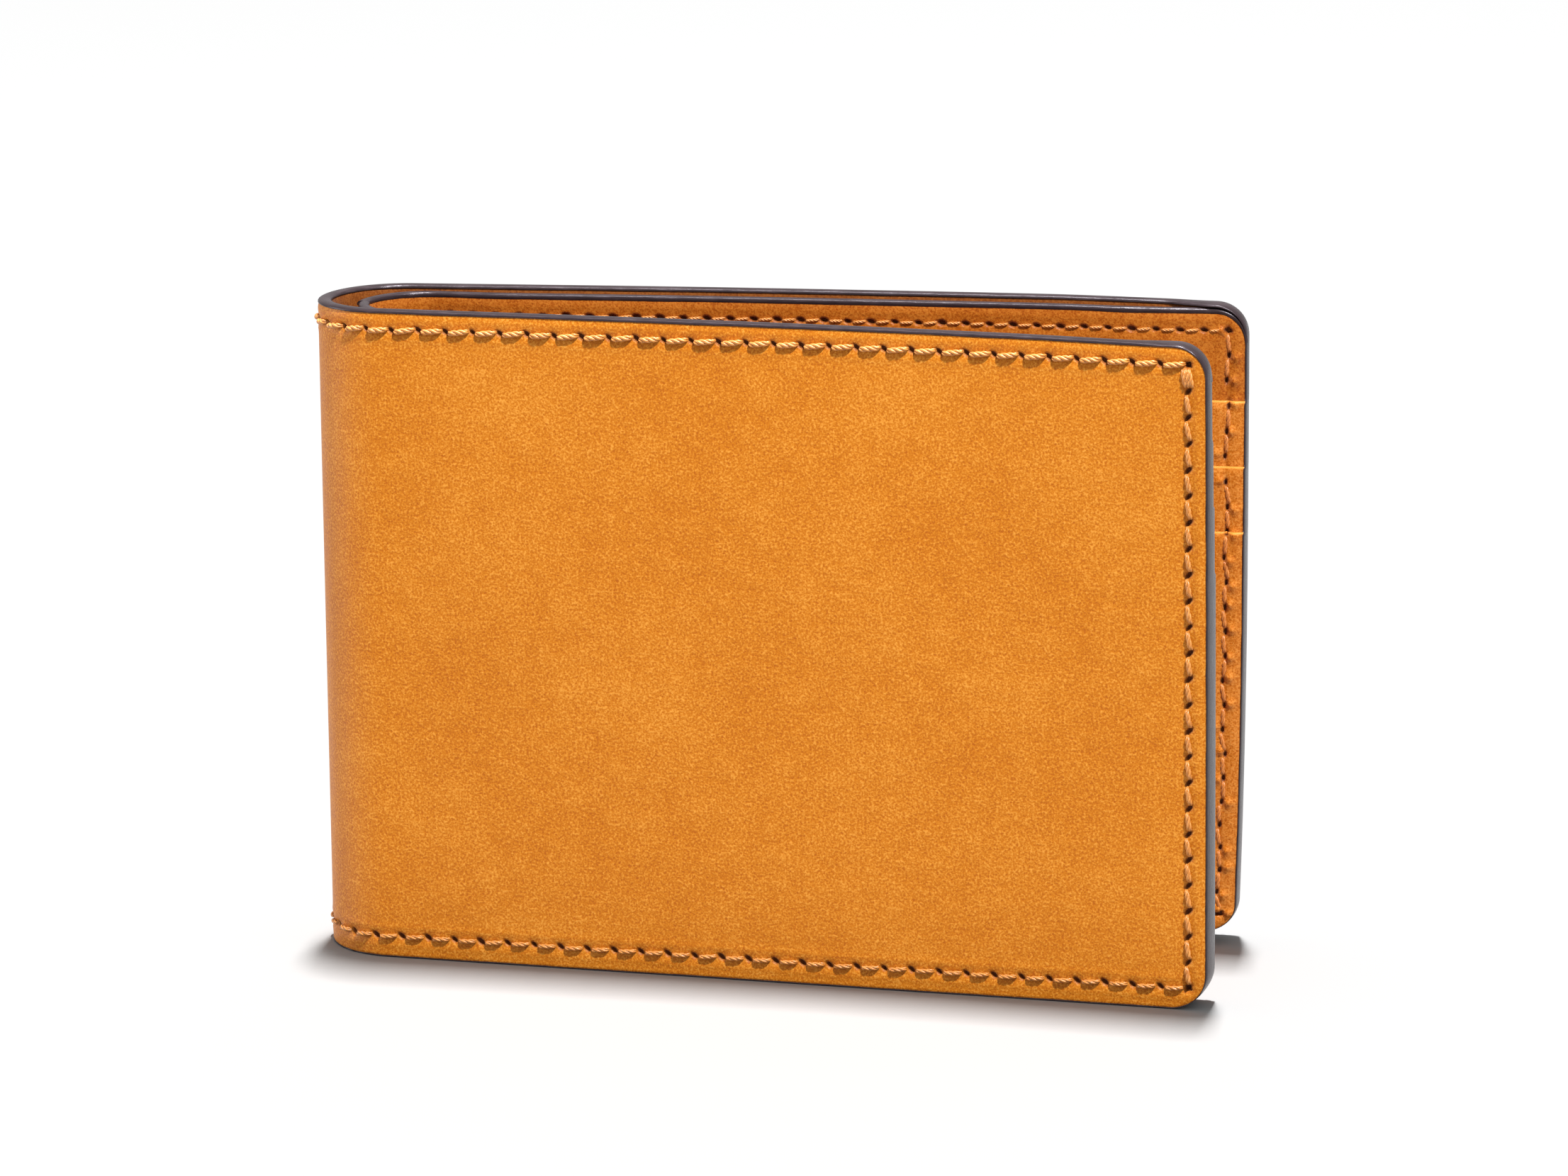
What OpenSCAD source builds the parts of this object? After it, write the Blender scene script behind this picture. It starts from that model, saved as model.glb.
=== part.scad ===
// Bifold wallet: a leather shell folded round its spine, a divider that makes the bill
// compartment, three card pockets on each half, and the seams that hold them. Millimetres.
//
// The wallet stands on its long bottom edge, a little open. +X runs from the spine to the
// free edges, the front half is on the -Y side, and +Z is up. The origin is at the middle
// of the footprint, on the surface it stands on.
//
// The spine bends at two upright fold lines, so each sheet that runs round it is drawn as
// three pieces: one on the back half, one on the spine and one on the front half.

/* [Wallet] */
// Height of the outer shell
wallet_h = 80; // [74:1:90]
// Width from the spine to the free edges
wallet_w = 112; // [106:1:122]
// Outer radius of the shell's curve at the spine
spine_r = 10; // [9:0.5:13]
// Angle between the two halves, in degrees
open_angle = 6.2; // [2:0.1:20]
// Radius of the free corners at the top
top_corner_r = 4; // [2:0.5:8]
// Radius of the front half's free corner at the bottom
front_bottom_r = 4.5; // [2:0.5:9]
// Radius of the back half's free corner at the bottom
back_bottom_r = 4; // [2:0.5:9]

/* [Leather] */
// Thickness of the outer shell
shell_t = 1.0; // [0.8:0.1:1.4]
// Thickness of the lining inside the shell
shell_lining_t = 0.6; // [0.4:0.1:0.8]
// Thickness of the lining behind the divider
divider_lining_t = 0.4; // [0.3:0.1:0.6]
// Thickness of the divider
divider_t = 0.8; // [0.6:0.1:1.0]
// Thickness of one card pocket
pocket_t = 0.6; // [0.4:0.1:0.7]

/* [Divider] */
// How far the divider's top edge is below the shell's
divider_drop = 0.6; // [0.4:0.1:3]
// How far the divider's curve stands in from the shell's at the spine
divider_slack = 3.0; // [1:0.1:4]

/* [Card pockets] */
// Distance from the divider's top edge down to the first pocket's edge
first_pocket_drop = 11.2; // [8:0.1:14]
// Distance from one pocket's edge down to the next
pocket_step = 8.0; // [6:0.1:10]
// Distance from the start of the flat half to the pockets' spine side
pocket_margin = 8; // [4:0.5:10]

/* [Stitching] */
// Length of one stitch on the surface
stitch_len = 2.3; // [1.5:0.1:2.6]
// Distance from one stitch to the next
stitch_pitch = 3.35; // [2.8:0.05:4]
// Radius of the thread
stitch_r = 0.4; // [0.25:0.05:0.45]
// Distance from an edge to its line of stitches
stitch_inset = 2.4; // [1.8:0.1:3]

/* [Fold lines] */
// Gap between two pieces of a sheet at a fold line
fold_gap = 0.2; // [0.1:0.05:0.4]
// Angle that each side of a fold line is cut back, so that the wallet can close
fold_relief = 3.5; // [1:0.5:5]

/* [Hidden] */
$fn = 96;

// Length of the flat part of each half
flat_len = wallet_w - spine_r;
// Angle of the shell's whole curve, and of the stretch from a flat half to its fold line
curve_angle = 180 - open_angle;
fold_at = curve_angle / 4;
// Inner layers stop just short of the surface that the shell stands on
layer_lift = 0.2;
// A cutting block is longer than anything it cuts
cut_size = 2 * wallet_h;
// Extra sweep of a curved sheet, which the fold lines trim away
sweep_spare = 12;

// Outer radius, about the spine's axis, of each layer from the shell inwards
shell_lining_r = spine_r - shell_t;
divider_lining_r = shell_lining_r - shell_lining_t;
divider_r = divider_lining_r - divider_lining_t;
pocket_r = divider_r - divider_t;

// Heights of the divider's and the pockets' top edges
divider_top = wallet_h - divider_drop;
pocket_count = 3;
function pocket_top(tier) = divider_top - first_pocket_drop - tier * pocket_step;
// How many pockets lie under a point at height z, and the depth of the face there
function tiers_at(z) = len([for (tier = [0:pocket_count - 1]) if (z < pocket_top(tier)) tier]);
function inner_face_r(z) = pocket_r - tiers_at(z) * pocket_t;

// Lines of stitches
top_row_z = wallet_h - stitch_inset;
bottom_row_z = stitch_inset;
divider_row_z = divider_top - stitch_inset;
side_column_x = flat_len - stitch_inset;
pocket_column_x = pocket_margin + stitch_inset / 2;
row_start_x = stitch_pitch / 3;
row_end_x = side_column_x - stitch_pitch;
column_top_z = wallet_h - top_corner_r;
column_bottom_z = front_bottom_r;

// Stitches on one quarter of the curve, and on the spine between the two fold lines
quarter_stitches = 2;
spine_stitches = 5;

// The front half's farthest reach from the spine's axis puts the origin at mid depth
front_reach = spine_r * cos(open_angle) + side_column_x * sin(open_angle) + stitch_r;
axis_x = spine_r + stitch_r - (wallet_w + stitch_r) / 2;
axis_y = (front_reach - spine_r - stitch_r) / 2;

// ---- Colours ----

module shell_colour() color([0.87, 0.55, 0.18]) children();
module lining_colour() color([0.76, 0.45, 0.14]) children();
module pocket_colour() color([0.80, 0.47, 0.13]) children();
module thread_colour() color([0.93, 0.68, 0.38]) children();

// ---- Placing a half or the spine ----
// A half is drawn with the spine's axis at the origin and its outer face at y = spine_r.

// The two halves differ only in the radius of the bottom corner.

module place_back() {
    $bottom_corner_r = back_bottom_r;
    translate([axis_x, axis_y, 0]) children();
}

module place_front() {
    $bottom_corner_r = front_bottom_r;
    translate([axis_x, axis_y, 0]) rotate(-open_angle) mirror([0, 1, 0]) children();
}

// The spine is drawn with the middle of its curve on the -X axis
module place_spine() translate([axis_x, axis_y, 0]) rotate(-open_angle / 2) children();

// ---- Sheets ----

// What a free corner loses to its rounding, drawn about the corner's centre
module corner_scrap(r)
    difference() {
        square(r + 1);
        circle(r);
    }

// A flat sheet's outline, with round corners at its free side
module outline(x0, z0, z1, top_r, bottom_r)
    difference() {
        translate([x0, z0]) square([flat_len - x0, z1 - z0]);
        if (top_r > 0) translate([flat_len - top_r, z1 - top_r]) corner_scrap(top_r);
        translate([flat_len - bottom_r, z0 + bottom_r]) mirror([0, 1]) corner_scrap(bottom_r);
    }

// A flat sheet whose outer face is at y = face_y
module flat_sheet(face_y, t, x0, z0, z1, top_r)
    translate([0, face_y, 0]) rotate([90, 0, 0]) linear_extrude(t)
        outline(x0, z0, z1, top_r, $bottom_corner_r - z0);

// A curved sheet about the origin, swept from one angle by another
module curved_sheet(outer_r, t, from_angle, sweep, z0, z1)
    rotate(from_angle) rotate_extrude(angle = sweep)
        translate([outer_r - t, z0]) square([t, z1 - z0]);

// The block beyond the fold line, which a half's sheet is cut away from. The fold line is
// on the shell's outer surface, and the cut leans back so that the wallet can close.
module beyond_fold()
    rotate(fold_at) translate([0, spine_r, 0]) rotate(fold_relief)
        translate([fold_gap / 2 - cut_size, -cut_size, -1]) cube([cut_size, 2 * cut_size, cut_size]);

// The same for the spine, at one of its two fold lines
module beyond_spine_fold()
    rotate(90 - fold_at) translate([0, spine_r, 0]) rotate(-fold_relief)
        translate([-fold_gap / 2, -cut_size, -1]) cube([cut_size, 2 * cut_size, cut_size]);

// One half's share of a sheet that runs on round the spine
module half_sheet(outer_r, t, slack, z0, z1)
    difference() {
        union() {
            flat_sheet(outer_r, t, slack, z0, z1, top_corner_r);
            translate([slack, 0, 0])
                curved_sheet(outer_r, t, 90, fold_at + sweep_spare, z0, z1);
        }
        beyond_fold();
    }

// The spine's share of the same sheet
module spine_sheet(outer_r, t, slack, z0, z1)
    difference() {
        translate([slack, 0, 0])
            curved_sheet(outer_r, t, 180 - fold_at - sweep_spare,
                         2 * (fold_at + sweep_spare), z0, z1);
        beyond_spine_fold();
        mirror([0, 1, 0]) beyond_spine_fold();
    }

// ---- Stitches ----
// A stitch is the half-round length of thread that shows on a surface.

module half_disc()
    intersection() {
        circle(stitch_r, $fn = 24);
        translate([-stitch_r, 0]) square([2 * stitch_r, stitch_r]);
    }

// A stitch along X on the plane y = 0, standing out to +Y
module stitch() rotate([0, 90, 0]) linear_extrude(stitch_len, center = true) half_disc();

// An upright stitch on the same plane
module upright_stitch() rotate([0, 90, 0]) stitch();

// A stitch that lies round a curve of radius r, centred at an angle, outside or inside it
module curved_stitch(r, angle, outside) {
    sweep = stitch_len / r * 180 / PI;
    rotate(angle - sweep / 2) rotate_extrude(angle = sweep)
        translate([r, 0]) rotate(outside ? -90 : 90) half_disc();
}

// Evenly spaced values from one to another, about a stitch apart
function spaced(from, to) =
    let (steps = round((to - from) / stitch_pitch))
    [for (i = [0:steps]) from + i * (to - from) / steps];

module stitch_row(from_x, to_x, z)
    for (x = spaced(from_x, to_x)) translate([x, 0, z]) stitch();

// Stitches round the curve between a flat half and its fold line
module quarter_row(r, z, outside)
    for (i = [1:quarter_stitches])
        translate([0, 0, z])
            curved_stitch(r, 90 + fold_at * (i - 0.5) / quarter_stitches, outside);

// Stitches round the spine between its two fold lines
module spine_row(r, z, count, outside)
    for (i = [1:count])
        translate([0, 0, z])
            curved_stitch(r, 180 - fold_at + 2 * fold_at * (i - 0.5) / count, outside);

// ---- Sub-parts of a half ----

module outer_shell_half()
    shell_colour() half_sheet(spine_r, shell_t, 0, 0, wallet_h);

module shell_lining_half()
    lining_colour() half_sheet(shell_lining_r, shell_lining_t, 0, layer_lift, wallet_h);

module divider_lining_half()
    lining_colour()
        half_sheet(divider_lining_r, divider_lining_t, divider_slack, layer_lift, divider_top);

module divider_half()
    pocket_colour() half_sheet(divider_r, divider_t, divider_slack, layer_lift, divider_top);

module card_pocket(tier)
    pocket_colour()
        flat_sheet(pocket_r - tier * pocket_t, pocket_t, pocket_margin, layer_lift,
                   pocket_top(tier), 0);

// The seam that joins the shell to everything inside it: top and bottom rows and the side
// column, with one stitch doubled where the seam starts at the top corner
module outer_stitches_half()
    thread_colour() {
        translate([0, spine_r, 0]) {
            stitch_row(row_start_x, row_end_x, top_row_z);
            stitch_row(row_start_x, row_end_x, bottom_row_z);
            for (z = spaced(column_bottom_z, column_top_z))
                translate([side_column_x, 0, z]) upright_stitch();
            translate([side_column_x - 2.5 * stitch_r, 0, column_top_z]) upright_stitch();
        }
        quarter_row(spine_r, top_row_z, true);
        quarter_row(spine_r, bottom_row_z, true);
    }

// The same seam where it comes out inside, on the divider and the pockets
module inner_stitches_half()
    thread_colour() {
        for (z = spaced(column_bottom_z, column_top_z - divider_drop))
            if (tiers_at(z - stitch_len / 2) == tiers_at(z + stitch_len / 2))
                translate([side_column_x, inner_face_r(z), 0]) mirror([0, 1, 0])
                    translate([0, 0, z]) upright_stitch();
        translate([0, inner_face_r(bottom_row_z), 0]) mirror([0, 1, 0])
            stitch_row(pocket_column_x + stitch_pitch, row_end_x, bottom_row_z);
    }

// The row along the divider's top edge, which joins it to its lining
module divider_stitches_half()
    thread_colour()
        translate([0, pocket_r, 0]) mirror([0, 1, 0])
            stitch_row(divider_slack + stitch_pitch / 2, row_end_x, divider_row_z);

// The column down the pockets' spine side
module pocket_stitches_half()
    thread_colour()
        for (z = spaced(bottom_row_z, pocket_top(0) - stitch_inset))
            if (tiers_at(z - stitch_len / 2) == tiers_at(z + stitch_len / 2))
                translate([pocket_column_x, inner_face_r(z), 0]) mirror([0, 1, 0])
                    translate([0, 0, z]) upright_stitch();

// ---- Back half ----

module outer_shell_back() place_back() outer_shell_half();
module shell_lining_back() place_back() shell_lining_half();
module divider_lining_back() place_back() divider_lining_half();
module divider_back() place_back() divider_half();
module top_card_pocket_back() place_back() card_pocket(0);
module middle_card_pocket_back() place_back() card_pocket(1);
module bottom_card_pocket_back() place_back() card_pocket(2);
module outer_stitches_back() place_back() outer_stitches_half();
module inner_stitches_back() place_back() inner_stitches_half();
module divider_stitches_back() place_back() divider_stitches_half();
module pocket_stitches_back() place_back() pocket_stitches_half();

// ---- Spine ----

module outer_shell_spine()
    place_spine() shell_colour() spine_sheet(spine_r, shell_t, 0, 0, wallet_h);

module shell_lining_spine()
    place_spine() lining_colour()
        spine_sheet(shell_lining_r, shell_lining_t, 0, layer_lift, wallet_h);

module divider_lining_spine()
    place_spine() lining_colour()
        spine_sheet(divider_lining_r, divider_lining_t, divider_slack, layer_lift, divider_top);

module divider_spine()
    place_spine() pocket_colour()
        spine_sheet(divider_r, divider_t, divider_slack, layer_lift, divider_top);

module outer_stitches_spine()
    place_spine() thread_colour() {
        spine_row(spine_r, top_row_z, spine_stitches, true);
        spine_row(spine_r, bottom_row_z, spine_stitches, true);
    }

module divider_stitches_spine()
    place_spine() thread_colour()
        translate([divider_slack, 0, 0])
            spine_row(pocket_r, divider_row_z, 2, false);

// ---- Front half ----

module outer_shell_front() place_front() outer_shell_half();
module shell_lining_front() place_front() shell_lining_half();
module divider_lining_front() place_front() divider_lining_half();
module divider_front() place_front() divider_half();
module top_card_pocket_front() place_front() card_pocket(0);
module middle_card_pocket_front() place_front() card_pocket(1);
module bottom_card_pocket_front() place_front() card_pocket(2);
module outer_stitches_front() place_front() outer_stitches_half();
module inner_stitches_front() place_front() inner_stitches_half();
module divider_stitches_front() place_front() divider_stitches_half();
module pocket_stitches_front() place_front() pocket_stitches_half();

outer_shell_back();
shell_lining_back();
divider_lining_back();
divider_back();
top_card_pocket_back();
middle_card_pocket_back();
bottom_card_pocket_back();
outer_stitches_back();
inner_stitches_back();
divider_stitches_back();
pocket_stitches_back();
outer_shell_spine();
shell_lining_spine();
divider_lining_spine();
divider_spine();
outer_stitches_spine();
divider_stitches_spine();
outer_shell_front();
shell_lining_front();
divider_lining_front();
divider_front();
top_card_pocket_front();
middle_card_pocket_front();
bottom_card_pocket_front();
outer_stitches_front();
inner_stitches_front();
divider_stitches_front();
pocket_stitches_front();
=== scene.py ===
"""Looks of the bifold wallet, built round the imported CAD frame.

Lengths are in millimetres until a mesh, a light or the camera is made, and then in metres. Each
sheet of leather is laid out flat first: x runs from the spine to the free edge, z is the height,
and depth is measured inwards from the outer shell's face. A Run then bends the layout round the
spine and puts it on one half. The sheets that run round the spine are cut in the middle of the
spine, and each part bends over its own fold line.
"""
import math

import bpy
import numpy as np
from mathutils import Matrix, Vector


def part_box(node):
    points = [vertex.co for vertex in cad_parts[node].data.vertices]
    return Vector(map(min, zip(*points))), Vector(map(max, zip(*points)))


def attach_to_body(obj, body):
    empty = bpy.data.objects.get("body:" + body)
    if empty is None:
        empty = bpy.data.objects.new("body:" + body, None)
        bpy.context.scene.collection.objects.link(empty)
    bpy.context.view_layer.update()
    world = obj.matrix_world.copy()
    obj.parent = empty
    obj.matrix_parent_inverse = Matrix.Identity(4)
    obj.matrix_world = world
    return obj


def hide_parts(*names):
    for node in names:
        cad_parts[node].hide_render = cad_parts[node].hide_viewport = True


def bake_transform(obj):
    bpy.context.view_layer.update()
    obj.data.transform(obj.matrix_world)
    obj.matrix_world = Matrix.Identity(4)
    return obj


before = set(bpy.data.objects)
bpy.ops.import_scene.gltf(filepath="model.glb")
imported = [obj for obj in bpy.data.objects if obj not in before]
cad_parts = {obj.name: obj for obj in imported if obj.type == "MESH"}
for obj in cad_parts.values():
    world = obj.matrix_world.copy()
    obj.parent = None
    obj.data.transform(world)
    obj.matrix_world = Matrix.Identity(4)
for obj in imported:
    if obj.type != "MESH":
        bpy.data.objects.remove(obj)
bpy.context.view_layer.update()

MM = 0.001
SIDES = ("back", "front")


# ---- Sizes, from the frame and the few dimensions that its boxes don't show ----

def box_mm(node):
    """Lowest and highest corner of a CAD node, in millimetres."""
    low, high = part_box(node)
    return np.array(low) / MM, np.array(high) / MM


SPINE_R = 10.0
OPEN_ANGLE = math.radians(6.2)
CURVE = math.pi - OPEN_ANGLE
DIVIDER_SLACK = 3.0

_, shell_high = box_mm("outer_shell_back")
spine_low, _ = box_mm("outer_shell_spine")
HEIGHT = shell_high[2]
FLAT = shell_high[0] - spine_low[0] - SPINE_R
AXIS = np.array([shell_high[0] - FLAT, shell_high[1] - SPINE_R])
DIVIDER_TOP = box_mm("divider_back")[1][2]
POCKETS = ("top_card_pocket", "middle_card_pocket", "bottom_card_pocket")
POCKET_TOPS = [box_mm(f"{name}_back")[1][2] for name in POCKETS]
POCKET_X = box_mm("top_card_pocket_back")[0][0] - AXIS[0]

# Depths of the faces between the layers
SHELL_IN = 1.0
LINING_IN = 1.6
DIVIDER_LINING_IN = 2.0
DIVIDER_IN = 2.8
POCKET_T = 0.6

# The leather stops short of the outline by as much as the edge paint stands out
TOP_EDGE = 0.40
SIDE_EDGE = 0.28
BOTTOM_EDGE = 0.12
LEATHER_X = FLAT - SIDE_EDGE
TOP_R = 3.7
BOTTOM_R = {"back": 3.8, "front": 4.3}

POCKET_ROUNDING = 0.32

# The seams. Rows run along the wallet and columns run up it.
SEAM_INSET = 2.4
TOP_ROW_Z = HEIGHT - SEAM_INSET
BOTTOM_ROW_LIFT = 0.3
BOTTOM_ROW_Z = SEAM_INSET + BOTTOM_ROW_LIFT
COLUMN_X = FLAT - SEAM_INSET
DIVIDER_ROW_INSET = 2.65
DIVIDER_ROW_Z = DIVIDER_TOP - DIVIDER_ROW_INSET
POCKET_COLUMN_INSET = 1.2
POCKET_COLUMN_X = POCKET_X + POCKET_COLUMN_INSET
POCKET_COLUMN_TOP = POCKET_TOPS[0] - 1.6
ROW_PITCH = 3.38
COLUMN_PITCH = 3.13
DIVIDER_PITCH = 2.87

# How far from a seam the leather has no more marks of it
PLAIN_GAP = 2.2


def smooth(t):
    """0 to 1 with level ends, as t goes from 0 to 1."""
    t = np.clip(t, 0.0, 1.0)
    return t * t * (3 - 2 * t)


def pocket_count(z):
    """How many card pockets lie at height z, easing in at each pocket's edge."""
    return sum(smooth((top + 0.1 - z) / 0.35) for top in POCKET_TOPS)


# ---- The halves' gentle shape ----

# The back half bows out, and its free bottom corner flares out, turns up and is drawn in
BACK_BOW = 1.2
CORNER_FLARE = 3.0
CORNER_LIFT = 1.6
CORNER_LIFT_REACH = 25
BACK_DRAW_IN = 0.75
BACK_DRAW_IN_REACH = 50
FLARE_DRAW_IN = 0.5

# The front half leans back at its top, most in the middle, and its top free edge is drawn in
LEAN_AT_SPINE = 1.1
LEAN_LOST = 0.5
FRONT_BOW = 1.3
FRONT_DRAW_IN = 0.40

TOP_DROOP = {"back": 0.28, "front": 0.18}
RIPPLE = 0.05


def flare(x, z):
    """0 to 1 towards the back half's free bottom corner."""
    return smooth((x / FLAT - 0.3) / 0.7) * np.clip(1 - z / HEIGHT, 0, 1) ** 1.5


def bow(side, x, z):
    """How far a half stands out from its flat CAD panel."""
    along = np.sin(math.pi * np.clip(x / FLAT, 0, 1))
    up = np.clip(z / HEIGHT, 0, 1)
    ripple = RIPPLE * np.sin(0.13 * x + 0.05 * z) * np.sin(0.09 * z + 1.0) * along
    if side == "back":
        return BACK_BOW * along * (0.4 + 0.6 * up) + CORNER_FLARE * flare(x, z) + ripple
    lean = (LEAN_AT_SPINE - LEAN_LOST * x / FLAT) * smooth((x + 15) / 15)
    return -(lean + FRONT_BOW * along) * up ** 2 + ripple


def curl(side, x, z):
    """How far a free corner moves up: both top ones droop, and the back's bottom one turns up."""
    moved = -TOP_DROOP[side] * smooth((x / FLAT - 0.75) / 0.25) * np.clip(z / HEIGHT, 0, 1) ** 2
    if side == "back":
        low = np.clip(1 - z / CORNER_LIFT_REACH, 0, 1)
        moved = moved + CORNER_LIFT * smooth((x / FLAT - 0.5) / 0.5) * low ** 2
    return moved


def draw_in(side, x, z):
    """How far the free edge is drawn in, at the back half's bottom and the front half's top."""
    share = smooth((x / FLAT - 0.6) / 0.4)
    if side == "back":
        low = np.clip(1 - z / BACK_DRAW_IN_REACH, 0, 1)
        return BACK_DRAW_IN * low ** 2 * share + FLARE_DRAW_IN * flare(x, z)
    return FRONT_DRAW_IN * np.clip(z / HEIGHT, 0, 1) ** 3 * share


def bill_gap(x, z):
    """How far the divider hangs away from the lining at the bill compartment's mouth."""
    along = smooth(x / 12) * smooth((COLUMN_X - x) / 14)
    return (0.9 + 0.4 * x / FLAT) * along * smooth((z / HEIGHT - 0.35) / 0.65)


class Run:
    """A line of leather from the free edge round to the middle of the spine."""

    def __init__(self, slack, outer_depth, is_divider):
        self.centre_x = slack * math.cos(OPEN_ANGLE / 2)
        self.centre_y = -slack * math.sin(OPEN_ANGLE / 2)
        self.outer_r = SPINE_R - outer_depth
        self.is_divider = is_divider
        self.apex = self.centre_x - self.outer_r * CURVE / 2

    def wrap(self, side, x, z, depth):
        """Points on one half for flat leather coordinates."""
        x, z, depth = np.broadcast_arrays(*(np.asarray(v, float) for v in (x, z, depth)))
        angle = np.maximum(0.0, (self.centre_x - x) / self.outer_r)
        radius = SPINE_R - depth + bow(side, x, z)
        if self.is_divider:
            radius = radius - bill_gap(x, z)
        px = np.maximum(x, self.centre_x) - radius * np.sin(angle) - draw_in(side, x, z)
        py = self.centre_y + radius * np.cos(angle)
        if side == "front":
            c, s = math.cos(OPEN_ANGLE), math.sin(OPEN_ANGLE)
            px, py = px * c - py * s, -px * s - py * c
        return np.stack([AXIS[0] + px, AXIS[1] + py, z + curl(side, x, z)], axis=-1)

    def fold_ends(self, side):
        """Where a half's bend starts, on the flat, and where it ends, at the spine's middle."""
        middle_depth = SPINE_R - self.outer_r
        start = self.wrap(side, self.centre_x, HEIGHT / 2, middle_depth)
        end = self.wrap(side, self.apex, HEIGHT / 2, middle_depth)
        return start * MM, end * MM

    def leather_co(self, side, x, z, depth):
        """Texture coordinates that run on across the middle of the spine."""
        across = (x - self.apex) * (1 if side == "front" else -1)
        return np.stack(np.broadcast_arrays(across, z, depth), axis=-1)


SHELL = Run(0.0, 0.0, False)
DIVIDER = Run(DIVIDER_SLACK, LINING_IN, True)


# ---- Making mesh objects ----

wallet = bpy.data.collections.new("wallet")
bpy.context.scene.collection.children.link(wallet)


def make_object(name, points, groups, flip, material, attributes, sharp_angle=40):
    """A smooth-shaded mesh object from points in millimetres.

    groups are arrays of vertex numbers with one polygon to a row. flip turns them inside out.
    attributes holds each point's vectors or numbers for the material, by name.
    """
    used = np.unique(np.concatenate([group.ravel() for group in groups]))
    renumber = np.zeros(len(points), np.int32)
    renumber[used] = np.arange(len(used))
    if flip:
        groups = [group[:, ::-1] for group in groups]
    corners = np.concatenate([renumber[group].ravel() for group in groups])
    sizes = np.concatenate([np.full(len(group), group.shape[1]) for group in groups])
    mesh = bpy.data.meshes.new(name)
    mesh.vertices.add(len(used))
    mesh.vertices.foreach_set("co", (points[used] * MM).astype(np.float32).ravel())
    mesh.loops.add(len(corners))
    mesh.loops.foreach_set("vertex_index", corners)
    mesh.polygons.add(len(sizes))
    mesh.polygons.foreach_set("loop_start", (np.cumsum(sizes) - sizes).astype(np.int32))
    mesh.update(calc_edges=True)
    for key, values in attributes.items():
        kind, field = ("FLOAT_VECTOR", "vector") if values.ndim == 2 else ("FLOAT", "value")
        layer = mesh.attributes.new(key, kind, "POINT")
        layer.data.foreach_set(field, values[used].astype(np.float32).ravel())
    mesh.shade_smooth()
    mesh.set_sharp_from_angle(angle=math.radians(sharp_angle))
    mesh.materials.append(material)
    made = bpy.data.objects.new(name, mesh)
    wallet.objects.link(made)
    return made


def attach(piece, side, run, crosses_spine):
    """A piece that crosses the spine has its placing baked into its mesh; any other rides on its
    half.
    """
    half = f"{side}_half"
    if crosses_spine:
        start, end = run.fold_ends(side)
        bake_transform(piece)
    else:
        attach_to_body(piece, half)


def graded_lines(start, end, near, fine=0.14, coarse=0.60, reach=0.55, growth=0.6):
    """Grid lines that are close together near some places and far apart elsewhere."""
    near = np.asarray(near, float)
    lines = [start]
    while lines[-1] < end:
        distance = np.abs(near - lines[-1]).min() if len(near) else math.inf
        step = min(max(fine + growth * (distance - reach), fine), coarse)
        lines.append(lines[-1] + step)
    lines[-1] = end
    return np.array(lines)


def merge_lines(*groups, closest=0.03):
    """One sorted set of grid lines, without near repeats. Both end lines stay."""
    lines = np.sort(np.concatenate(groups))
    kept = [lines[0]]
    for value in lines[1:]:
        if value - kept[-1] > closest:
            kept.append(value)
    kept[-1] = lines[-1]
    return np.array(kept)


def pick_lines(lines, low, high, spacing):
    """Indices of lines from low to high that are at least a spacing apart."""
    picked = []
    for i, value in enumerate(lines):
        if low <= value <= high and (not picked or value - lines[picked[-1]] >= spacing(value)):
            picked.append(i)
    return picked


class HoleLook:
    """How a seam marks the leather.

    slit and slit_w are half the length and width of a hole, tilt is its slant to the seam,
    trough and trough_w are the groove that the tight thread makes, and wander and bump are how
    unevenly the holes lie and how high the leather puckers beside them.
    """

    def __init__(self, slit, slit_w, tilt, trough, trough_w, wander=0.03, bump=0.0):
        self.slit, self.slit_w, self.tilt = slit, slit_w, math.radians(tilt)
        self.trough, self.trough_w = trough, trough_w
        self.wander, self.bump = wander, bump


OUTER_HOLES = HoleLook(0.48, 0.25, 42, 0.13, 0.60)
DIVIDER_HOLES = HoleLook(0.46, 0.27, 12, 0.05, 0.35)
INNER_HOLES = HoleLook(0.38, 0.17, 8, 0.20, 0.26, wander=0.18, bump=0.38)

HOLE_DEPTH = 0.55
LIP_HEIGHT = 0.05
LIP_OFFSET = 1.15
MARK_WIDTH = 0.42
BUMP_LENGTH = 0.55


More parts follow.
